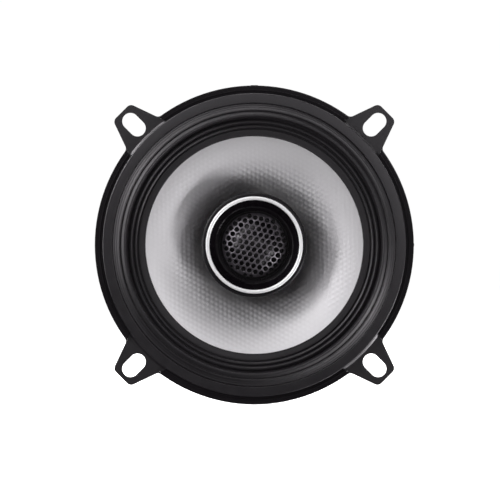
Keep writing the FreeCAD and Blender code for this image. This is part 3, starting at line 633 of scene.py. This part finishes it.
# ------------------------------------------------------------------ surround
def make_surround():
    top = [(44.74, 1.30, 0), (44.80, 1.46, 0), (44.98, 1.54, 0), (45.2, 1.52, 0), (45.45, 1.50, 0), (45.7, 1.56, 0), (47.3, 1.62, 0.3),
           (47.66, 1.45, 0.3), (47.92, 1.20, 0.15), (48.30, 2.02, 0.5), (48.72, 2.34, 0.5), (49.30, 2.14, 1.2), (49.75, 1.72, 0.12),
           (50.12, 2.98, 0.5), (50.48, 3.44, 0.45), (51.10, 3.24, 1.5), (52.08, 2.50, 0.14),
           (52.58, 4.32, 0.6), (53.02, 4.98, 0.5), (53.62, 4.82, 0.8), (54.86, 4.00, 0.12),
           (55.22, 4.46, 0.3), (55.50, 4.60, 0.2), (56.34, 4.16, 0), (56.40, 4.08, 0), (56.48, 4.08, 0),
           (57.06, 3.78, 0), (57.12, 3.70, 0), (57.20, 3.70, 0), (57.96, 3.32, 0.15), (58.15, 3.0, 0.1), (58.15, 2.3, 0.1), (58.3, 2.12, 0), (61.9, 2.1, 0)]
    top = soften(top, 0.2, 6, closed=False)
    under = [(61.9, 1.62), (58.3, 1.62), (57.78, 1.75), (57.5, 2.9), (55.75, 3.85), (55.35, 3.78), (54.9, 3.3), (53.6, 4.15), (53.2, 4.25),
             (52.9, 4.0), (52.2, 1.9), (50.9, 2.72), (50.6, 2.78), (50.35, 2.6), (49.85, 1.2), (49.1, 1.66), (48.8, 1.7), (48.5, 1.4),
             (48.1, 0.72), (47.8, 0.72), (47.4, 1.0), (44.74, 1.0)]
    prof = top + under
    ob = lathe("surround_roll", prof, n=480, sharp=75)
    dress(ob, "surround_rubber")
    ride_radially(ob)
    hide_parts("surround")
    return ob


surround = make_surround()

# ------------------------------------------------------------------ gasket
gasket = lathe("gasket_ring", soften([(58.2, 2.5), (62.3, 2.5), (62.3, 3.12, 0.15), (62.06, 3.26, 0.3), (58.5, 3.46, 0.3), (58.2, 3.32, 0.2)], 0.15, 4), n=360)
dress(gasket, "gasket_foam")
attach(gasket, "chassis")
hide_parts("front_gasket")


# ------------------------------------------------------------------ spider
def make_spider():
    mid, top, under = -18.9, [], []
    m = 150
    for i in range(m + 1):
        r = 13.2 + (31.0 - 13.2) * i / m
        env = min(1.0, (r - 13.2) / 1.5, (31.0 - r) / 1.5)
        h = mid + 0.85 * env * math.sin(TAU * (r - 13.2) / 3.56)
        top.append((r, h + 0.2))
        under.append((r, h - 0.2))
    prof = [(12.69, mid - 0.66), (12.69, mid + 0.8), (12.85, mid + 0.83), (13.0, mid + 0.6)] + top
    prof += [(31.4, mid + 0.2), (36.3, mid + 0.2), (36.5, mid + 0.1), (36.5, mid - 0.12), (36.3, mid - 0.2), (31.4, mid - 0.2)] + list(reversed(under)) + [(13.0, mid - 0.5), (12.9, mid - 0.66)]
    ob = lathe("spider_cloth", prof, n=240, sharp=60)
    dress(ob, "spider_cloth")
    ride_radially(ob)
    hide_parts("spider")
    return ob


make_spider()

# ------------------------------------------------------------------ voice coil winding with its turns
turns = []
n_turn = 33
for i in range(n_turn):
    h = -24.25 - 0.3 * i
    turns += [(13.12, h), (13.27, h - 0.08), (13.28, h - 0.17), (13.14, h - 0.26)]
winding = lathe("coil_turns", [(12.68, -24.2), (13.1, -24.2)] + turns + [(13.1, -34.18), (12.68, -34.18)], n=120, sharp=80)
dress(winding, "copper_wire")
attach(winding, "cone_assembly")
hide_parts("voice_coil_winding")


# ------------------------------------------------------------------ tweeter pod
housing = lathe("pod_shell", soften([
    (4.05, -11.2, 0), (12.2, -11.2, 0.8), (21.35, -4.35, 0.4), (21.6, -3.9, 0.3), (21.6, 2.45, 0.5), (21.45, 2.95, 0.5), (21.05, 3.25, 0.5),
    (20.6, 3.36, 0.4), (20.2, 3.4, 0), (18.36, 3.4, 0), (18.36, 2.6, 0), (20.5, 2.6, 0),
    (20.55, -1.4, 0), (19.2, -1.4, 0), (19.2, -2.2, 0), (20.2, -3.2, 0), (20.0, -3.9, 0), (11.7, -9.8, 0), (4.05, -9.8, 0)], 0.3, 4), n=288)
dress(housing, "pod_plastic")
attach(housing, "chassis")
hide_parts("tweeter_housing")

ring = lathe("pod_ring", soften([
    (18.46, 3.42, 0.05), (19.93, 3.42, 0.05), (19.95, 4.95, 0.25), (19.75, 5.34, 0.35), (19.2, 5.48, 0.6), (18.75, 5.38, 0.35), (18.46, 5.05, 0.25)], 0.2, 5), n=288)
dress(ring, "ring_chrome")
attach(ring, "chassis")
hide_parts("tweeter_trim_ring")

funnel = lathe("pod_funnel", soften([
    (18.34, 4.78, 0.08), (17.9, 4.2), (17.2, 3.25), (16.6, 2.45), (16.15, 1.88), (15.8, 1.6), (15.4, 1.46), (14.9, 1.42), (14.28, 1.42, 0.12),
    (14.25, 0.62, 0.05), (15.3, 0.62), (15.95, 0.82), (16.9, 1.9), (17.4, 2.6), (18.32, 2.6, 0.05)], 0.6, 4, least=4), n=288, sharp=60)
dress(funnel, "funnel_gloss")
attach(funnel, "chassis")
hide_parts("tweeter_funnel")


# ------------------------------------------------------------------ tweeter grille
def make_grille():
    base_r, base_h, apex, thick = 13.7, 0.5, 6.3, 0.28
    R = (base_r ** 2 + (apex - base_h) ** 2) / (2 * (apex - base_h))
    cz = apex - R
    pitch, hole, lip, turn = 2.51, 0.955, 0.24, -13.2
    ca, sa = math.cos(math.radians(turn)), math.sin(math.radians(turn))
    centres, sizes, fills = [], [], []
    for j in range(-8, 9):
        for i in range(-8, 9):
            x, y = pitch * (i + 0.5 * (j % 2)), pitch * math.sqrt(3) / 2 * j
            X, Y = x * ca - y * sa - 0.81, x * sa + y * ca + 0.45
            away = math.hypot(X, Y)
            # holes at the edge of the field shrink to fit
            r = min(hole, 13.45 - math.hypot(X - 0.3, Y + 0.25))
            if r > 0.33:
                centres.append((X, Y))
                sizes.append(r)
            elif away < 13.45:
                fills.append((X, Y))

    def dome(p, off=0.0):
        p = np.asarray(p, float)
        return cz + np.sqrt(np.maximum(0.0, (R - off) ** 2 - p[:, 0] ** 2 - p[:, 1] ** 2))

    m, rim_n = 18, 160
    th = np.arange(m) * TAU / m
    circ = lambda c, r: np.stack([c[0] + r * np.cos(th), c[1] + r * np.sin(th)], 1)
    rt = np.arange(rim_n) * TAU / rim_n

    def sheet(grow, rim_r):
        pts = [np.stack([rim_r * np.cos(rt), rim_r * np.sin(rt)], 1)]
        edges = [(i, (i + 1) % rim_n) for i in range(rim_n)]
        faces = [list(range(rim_n))]
        base = rim_n
        for c, hr in zip(centres, sizes):
            pts.append(circ(c, hr + grow))
            edges += [(base + i, base + (i + 1) % m) for i in range(m)]
            faces.append(list(range(base, base + m)))
            base += m
        extra = [c for c in fills if math.hypot(*c) < rim_r - 0.3]
        if extra:
            pts.append(np.array(extra))
        # middle of each three-cornered web
        webs = []
        for c in centres:
            for q in range(6):
                a = math.radians(turn + 30 + 60 * q)
                w = (c[0] + pitch / math.sqrt(3) * math.cos(a), c[1] + pitch / math.sqrt(3) * math.sin(a))
                if math.hypot(*w) < rim_r - 0.25 and all(math.hypot(w[0] - u[0], w[1] - u[1]) > 0.3 for u in webs):
                    webs.append(w)
        if webs:
            pts.append(np.array(webs))
        P = np.vstack(pts)
        out = delaunay_2d_cdt([Vector(p) for p in P], edges, faces, 1, 1e-6)
        ov = np.array([tuple(v) for v in out[0]])
        keep = []
        cen, rad = np.array(centres), np.array(sizes) + grow
        for t in out[2]:
            mid = ov[list(t)].mean(0)
            if np.all(np.hypot(cen[:, 0] - mid[0], cen[:, 1] - mid[1]) > rad * math.cos(math.pi / m) - 1e-4):
                keep.append(tuple(t))
        return ov, keep

    V, F, base = [], [], 0

    def add(v, f):
        nonlocal base
        V.append(v)
        F.extend(tuple(i + base for i in q) for q in f)
        base += len(v)

    tv, tf = sheet(lip, base_r)
    # CDT triangles are counter-clockwise, which faces +h here
    add(np.column_stack([tv, dome(tv)]), tf)
    ri = math.sqrt((R - thick) ** 2 - (0.12 - cz) ** 2)
    bv, bf = sheet(0.0, ri)
    add(np.column_stack([bv, dome(bv, thick)]), [tuple(reversed(t)) for t in bf])
    for c, hr in zip(centres, sizes):
        rows = []
        for r, drop in ((lip, 0.0), (0.16, 0.025), (0.09, 0.07), (0.035, 0.13), (0.0, 0.22), (0.0, None)):
            q = circ(c, hr + r)
            h = dome(q, thick) if drop is None else dome(q) - drop
            rows.append(np.column_stack([q, h]))
        add(np.vstack(rows), [tuple(q) for q in grid_faces(len(rows), m, False)])
    rows = []
    for r, h in ((base_r, base_h), (13.82, 0.44), (13.95, 0.48), (14.12, 0.46), (14.2, 0.36), (14.2, 0.14), (14.1, 0.12), (ri, 0.12)):
        rows.append(np.column_stack([r * np.cos(rt), r * np.sin(rt), np.full(rim_n, h)]))
    add(np.vstack(rows), [tuple(q) for q in grid_faces(len(rows), rim_n, False)])
    v = np.vstack(V)
    ob = build("grille_mesh", v, F, weld=True, sharp=75)
    bm = bmesh.new()
    bm.from_mesh(ob.data)
    bmesh.ops.recalc_face_normals(bm, faces=bm.faces)
    bm.to_mesh(ob.data)
    bm.free()
    ob.data.shade_smooth()
    ob.data.set_sharp_from_angle(angle=math.radians(75))
    dress(ob, "mesh_black")
    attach(ob, "chassis")
    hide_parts("tweeter_grille")
    return ob


make_grille()


# ------------------------------------------------------------------ tweeter diaphragm and pad
def make_diaphragm():
    DR = (10.0 ** 2 + 4.4 ** 2) / (2 * 4.4)
    dc = 4.7 - DR
    m = 26
    top = [(10.0 * i / m, dc + math.sqrt(DR ** 2 - (10.0 * i / m) ** 2)) for i in range(m + 1)]
    roll = [(10.55 + 0.85 * (1 - math.cos(math.pi * i / 12)), 0.28 - 0.33 * i / 12 + 0.62 * math.sin(math.pi * i / 12)) for i in range(13)]
    tops = top + roll + [(12.6, -0.05), (13.18, -0.05)]
    bots = [(13.18, -0.19), (12.3, -0.19)] + [(r + (0.1 if r < 11.4 else -0.1) * (0 < i < 12), h - 0.14) for i, (r, h) in reversed(list(enumerate(roll[:-1])))] + [(r, h - 0.14) for r, h in reversed(top)]
    ob = lathe("tweeter_dome", tops + bots, n=160, closed=False, sharp=60)
    dress(ob, "soft_dome")
    ride_radially(ob)
    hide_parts("tweeter_diaphragm")
    return ob


make_diaphragm()

pad = lathe("felt_pad", soften([(0, -0.38, 0), (7.8, -0.38, 0.2), (8.0, -0.1, 0.2), (7.9, 0.25, 0.3), (7.2, 0.5, 0.6), (4.0, 0.66, 2.0), (0, 0.72, 0)], 0.3, 4, closed=False), n=96, closed=False)
co = np.zeros(len(pad.data.vertices) * 3)
pad.data.vertices.foreach_get("co", co)
co = co.reshape(-1, 3)
co[:, 1] += np.where(co[:, 1] < 0.00005, 1, 0) * 2.5e-5 * np.sin(co[:, 0] * 5200) * np.cos(co[:, 2] * 4700)
pad.data.vertices.foreach_set("co", co.ravel())
pad.data.update()
dress(pad, "felt")
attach(pad, "chassis")
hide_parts("tweeter_damping_pad")


# ------------------------------------------------------------------ flexible leads
def braid(s, th):
    k = 0.5 * (np.cos(4 * th + s * 3.4) + np.cos(4 * th - s * 3.4))
    return 0.94 + 0.09 * k


BOARD_TOP = -20.1
for sgn, name in ((1, "lead_positive"), (-1, "lead_negative")):
    px, py = sgn * 4.4, -17.4
    ph = cone_front(math.hypot(px, py)) - CONE_T
    pts = [(px, py, ph - 1.0), (px, py, ph - 1.95), (sgn * 4.9, -21.5, ph - 2.3), (sgn * 6.4, -31.0, -14.3), (sgn * 7.8, -38.5, -15.2),
           (sgn * 8.2, -43.0, -17.0), (sgn * 8.2, -44.6, BOARD_TOP + 0.85)]
    path, s = smooth_path(pts, 0.2)
    ob = tube(name + "_braid", path, s, 0.5, ring=16, ripple=braid)
    dress(ob, "tinsel")
    a, b = path[-1] * 1.0, path[0] * 1.0
    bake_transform(ob)
    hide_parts(name)

# lacquer blobs that hold the leads to the back of the cone
blobs = []
for sgn in (1, -1):
    px, py = sgn * 4.4, -17.4
    ph = cone_front(math.hypot(px, py)) - CONE_T
    prof = [(0, ph + 0.25), (1.2, ph + 0.15), (1.55, ph - 0.25), (1.42, ph - 0.62), (1.12, ph - 0.98), (0.75, ph - 1.3), (0.42, ph - 1.5), (0, ph - 1.56)]
    blobs.append(lathe("blob%d" % sgn, prof, n=40, closed=False, at=(px, py)))
lead_pads = join("lead_lacquer", blobs)
dress(lead_pads, "paint_adhesive")
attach(lead_pads, "cone_assembly")
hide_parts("lead_pads")

# solder on the two terminal rivets
blobs = []
for sgn in (1, -1):
    top = BOARD_TOP
    prof = [(0, top + 1.3), (0.45, top + 1.22), (0.9, top + 0.95), (1.3, top + 0.6), (1.7, top + 0.32), (2.05, top + 0.12), (2.1, top + 0.02), (0, top + 0.02)]
    blobs.append(lathe("solder%d" % sgn, prof, n=36, closed=False, at=(sgn * 8.2, -44.6)))
solder = join("terminal_solder", blobs)
solder.data.materials.append(M["solder"])
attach(solder, "chassis")

# ------------------------------------------------------------------ tweeter wires
GAP_H, BACK_H = -7.85, -49.55
SPLICE = (9.9, -41.9, -25.3)
for sgn, name, slot in ((1, "tweeter_wire_positive", "wire_red"), (-1, "tweeter_wire_negative", "wire_black")):
    x = sgn * 1.0
    pts = [(sgn * 15.6, 0, -1.85), (sgn * 15.6, 0, -6.1), (sgn * 12.6, 0, GAP_H), (x, 0, GAP_H), (x, 0, BACK_H), (x, -41.75, BACK_H)]
    if sgn > 0:
        pts += [(x, -41.75, -27.5), (2.6, -41.9, -25.3), (SPLICE[0] - 0.05, SPLICE[1], SPLICE[2])]
    else:
        pts += [(x, -41.75, -26.0), (-4.2, -41.3, -24.2), (-7.6, -41.0, -23.1), (-9.3, -40.6, -23.05)]
    path, s = rounded_path(pts, 1.15, 0.35)
    ob = tube(name + "_lead", path, s, 0.49, ring=16, ripple=lambda s, th: 0.985 + 0.012 * np.sin(s * 1.1) + 0 * th)
    dress(ob, slot)
    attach(ob, "chassis")
    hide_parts(name)


# ------------------------------------------------------------------ hot-melt on the capacitor
def melted(node, name, voxel_mm, smooth, slot, body="chassis"):
    src = NODES[node]
    ob = bpy.data.objects.new(name, src.data.copy())
    bpy.context.scene.collection.objects.link(ob)
    r = ob.modifiers.new("r", "REMESH")
    r.mode, r.voxel_size = "VOXEL", voxel_mm * MM
    s = ob.modifiers.new("s", "SMOOTH")
    s.factor, s.iterations = 0.6, smooth
    dg = bpy.context.evaluated_depsgraph_get()
    me = bpy.data.meshes.new_from_object(ob.evaluated_get(dg))
    old = ob.data
    ob.modifiers.clear()
    ob.data = me
    bpy.data.meshes.remove(old)
    me.name = name
    me.shade_smooth()
    for k in list(ob.keys()):
        if k.startswith("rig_"):
            del ob[k]
    dress(ob, slot)
    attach(ob, body)
    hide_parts(node)
    return ob


melted("capacitor_adhesive", "capacitor_glue", 0.3, 14, "hot_melt")

# ------------------------------------------------------------------ stage
stage_mat = bpy.data.materials.new("studio_white")
stage_mat.use_nodes = True
t = stage_mat.node_tree
t.nodes.remove(t.nodes["Principled BSDF"])
em = t.nodes.new("ShaderNodeEmission")
em.inputs["Color"].default_value = (1, 1, 1, 1)
em.inputs["Strength"].default_value = 1.02
t.links.new(em.outputs[0], t.nodes["Material Output"].inputs["Surface"])

bpy.ops.mesh.primitive_uv_sphere_add(segments=64, ring_count=32, radius=6.0)
dome = bpy.context.object
dome.name = "studio_backdrop"
dome.data.materials.append(stage_mat)
dome.data.shade_smooth()

floor_mat = bpy.data.materials.new("studio_floor")
floor_mat.use_nodes = True
t = floor_mat.node_tree
fb = t.nodes["Principled BSDF"]
fb.inputs["Base Color"].default_value = (0.8, 0.8, 0.8, 1)
fb.inputs["Roughness"].default_value = 0.9
fb.inputs["Emission Color"].default_value = (1, 1, 1, 1)
fb.inputs["Emission Strength"].default_value = 1.02
bpy.ops.mesh.primitive_circle_add(vertices=96, radius=5.9, fill_type="NGON", location=(0, 0, -0.0662))
floor = bpy.context.object
floor.name = "studio_floor"
floor.data.materials.append(floor_mat)
for o in (dome, floor):
    o.visible_diffuse = False
    o.visible_glossy = False
    o.visible_transmission = False
    o.visible_shadow = False
    o.visible_volume_scatter = False

# ------------------------------------------------------------------ lights
CENTRE = Vector((0, 0, 0))


def lamp(name, az, off, dist, size, power, size_y=None, back=False):
    """A soft panel at azimuth az (from +X towards +Z) and `off` degrees from the speaker's axis."""
    d = bpy.data.lights.new(name, "AREA")
    d.shape = "ELLIPSE" if size_y is None else "RECTANGLE"
    d.size = size
    d.size_y = size_y or size
    d.energy = power
    d.color = (1.0, 1.0, 1.0)
    o = bpy.data.objects.new(name, d)
    bpy.context.scene.collection.objects.link(o)
    a, t = math.radians(az), math.radians(off)
    pos = Vector((math.sin(t) * math.cos(a), -math.cos(t), math.sin(t) * math.sin(a))) * dist
    o.location = pos
    o.rotation_mode = "QUATERNION"
    o.rotation_quaternion = pos.to_track_quat("Z", "Y")
    o.visible_camera = False
    return o


LIGHTS = [
    # name, azimuth, off-axis, distance, size, power
    ("key_right", 330, 70, 1.2, 0.42, 9.6),
    ("key_left", 150, 70, 1.2, 0.42, 8.65),
    ("side_left", 180, 70, 1.2, 0.42, 4.6),
    ("side_high", 120, 70, 1.2, 0.42, 3.8),
    ("side_low", 300, 70, 1.2, 0.42, 3.0),
    ("side_top", 90, 70, 1.2, 0.42, 2.2),
    ("edge_high", 60, 97, 1.2, 0.6, 8.8),
    ("edge_right", 30, 97, 1.2, 0.6, 7.9),
    ("edge_top", 90, 97, 1.2, 0.6, 2.7),
    ("over_right", 30, 22, 1.2, 0.42, 1.35),
    ("over_left", 120, 22, 1.2, 0.42, 1.13),
    ("mid_right", 0, 54, 1.2, 0.42, 0.6),
    ("mid_left", 150, 54, 1.2, 0.42, 0.4),
    ("mid_lower_left", 210, 38, 1.2, 0.42, 0.55),
    ("mid_low", 270, 38, 1.2, 0.42, 0.5),
    ("mid_low_left", 240, 38, 1.2, 0.42, 0.2),
    ("back_left", 150, 140, 1.3, 1.0, 9.5),
    ("back_right", 30, 140, 1.3, 1.0, 9.5),
    ("back_low", 270, 130, 1.3, 0.8, 4.0),
]
for row in LIGHTS:
    lamp(*row)

world = bpy.data.worlds.new("studio")
bpy.context.scene.world = world
world.use_nodes = True
bg = world.node_tree.nodes["Background"]
bg.inputs["Color"].default_value = (1, 1, 1, 1)
bg.inputs["Strength"].default_value = 0.01

scene = bpy.context.scene
scene.view_settings.view_transform = "Standard"
scene.view_settings.look = "None"
scene.view_settings.exposure = 0.0
scene.view_settings.gamma = 1.0

# ------------------------------------------------------------------ camera
cam_data = bpy.data.cameras.new("camera")
cam_data.sensor_width = 36.0
cam_data.lens = 279.95
cam_data.clip_start, cam_data.clip_end = 0.05, 12.0
cam = bpy.data.objects.new("camera", cam_data)
scene.collection.objects.link(cam)
cam.location = (-0.00177, -1.6, -0.00206)
cam.rotation_euler = (math.radians(90), 0, 0)
scene.camera = cam
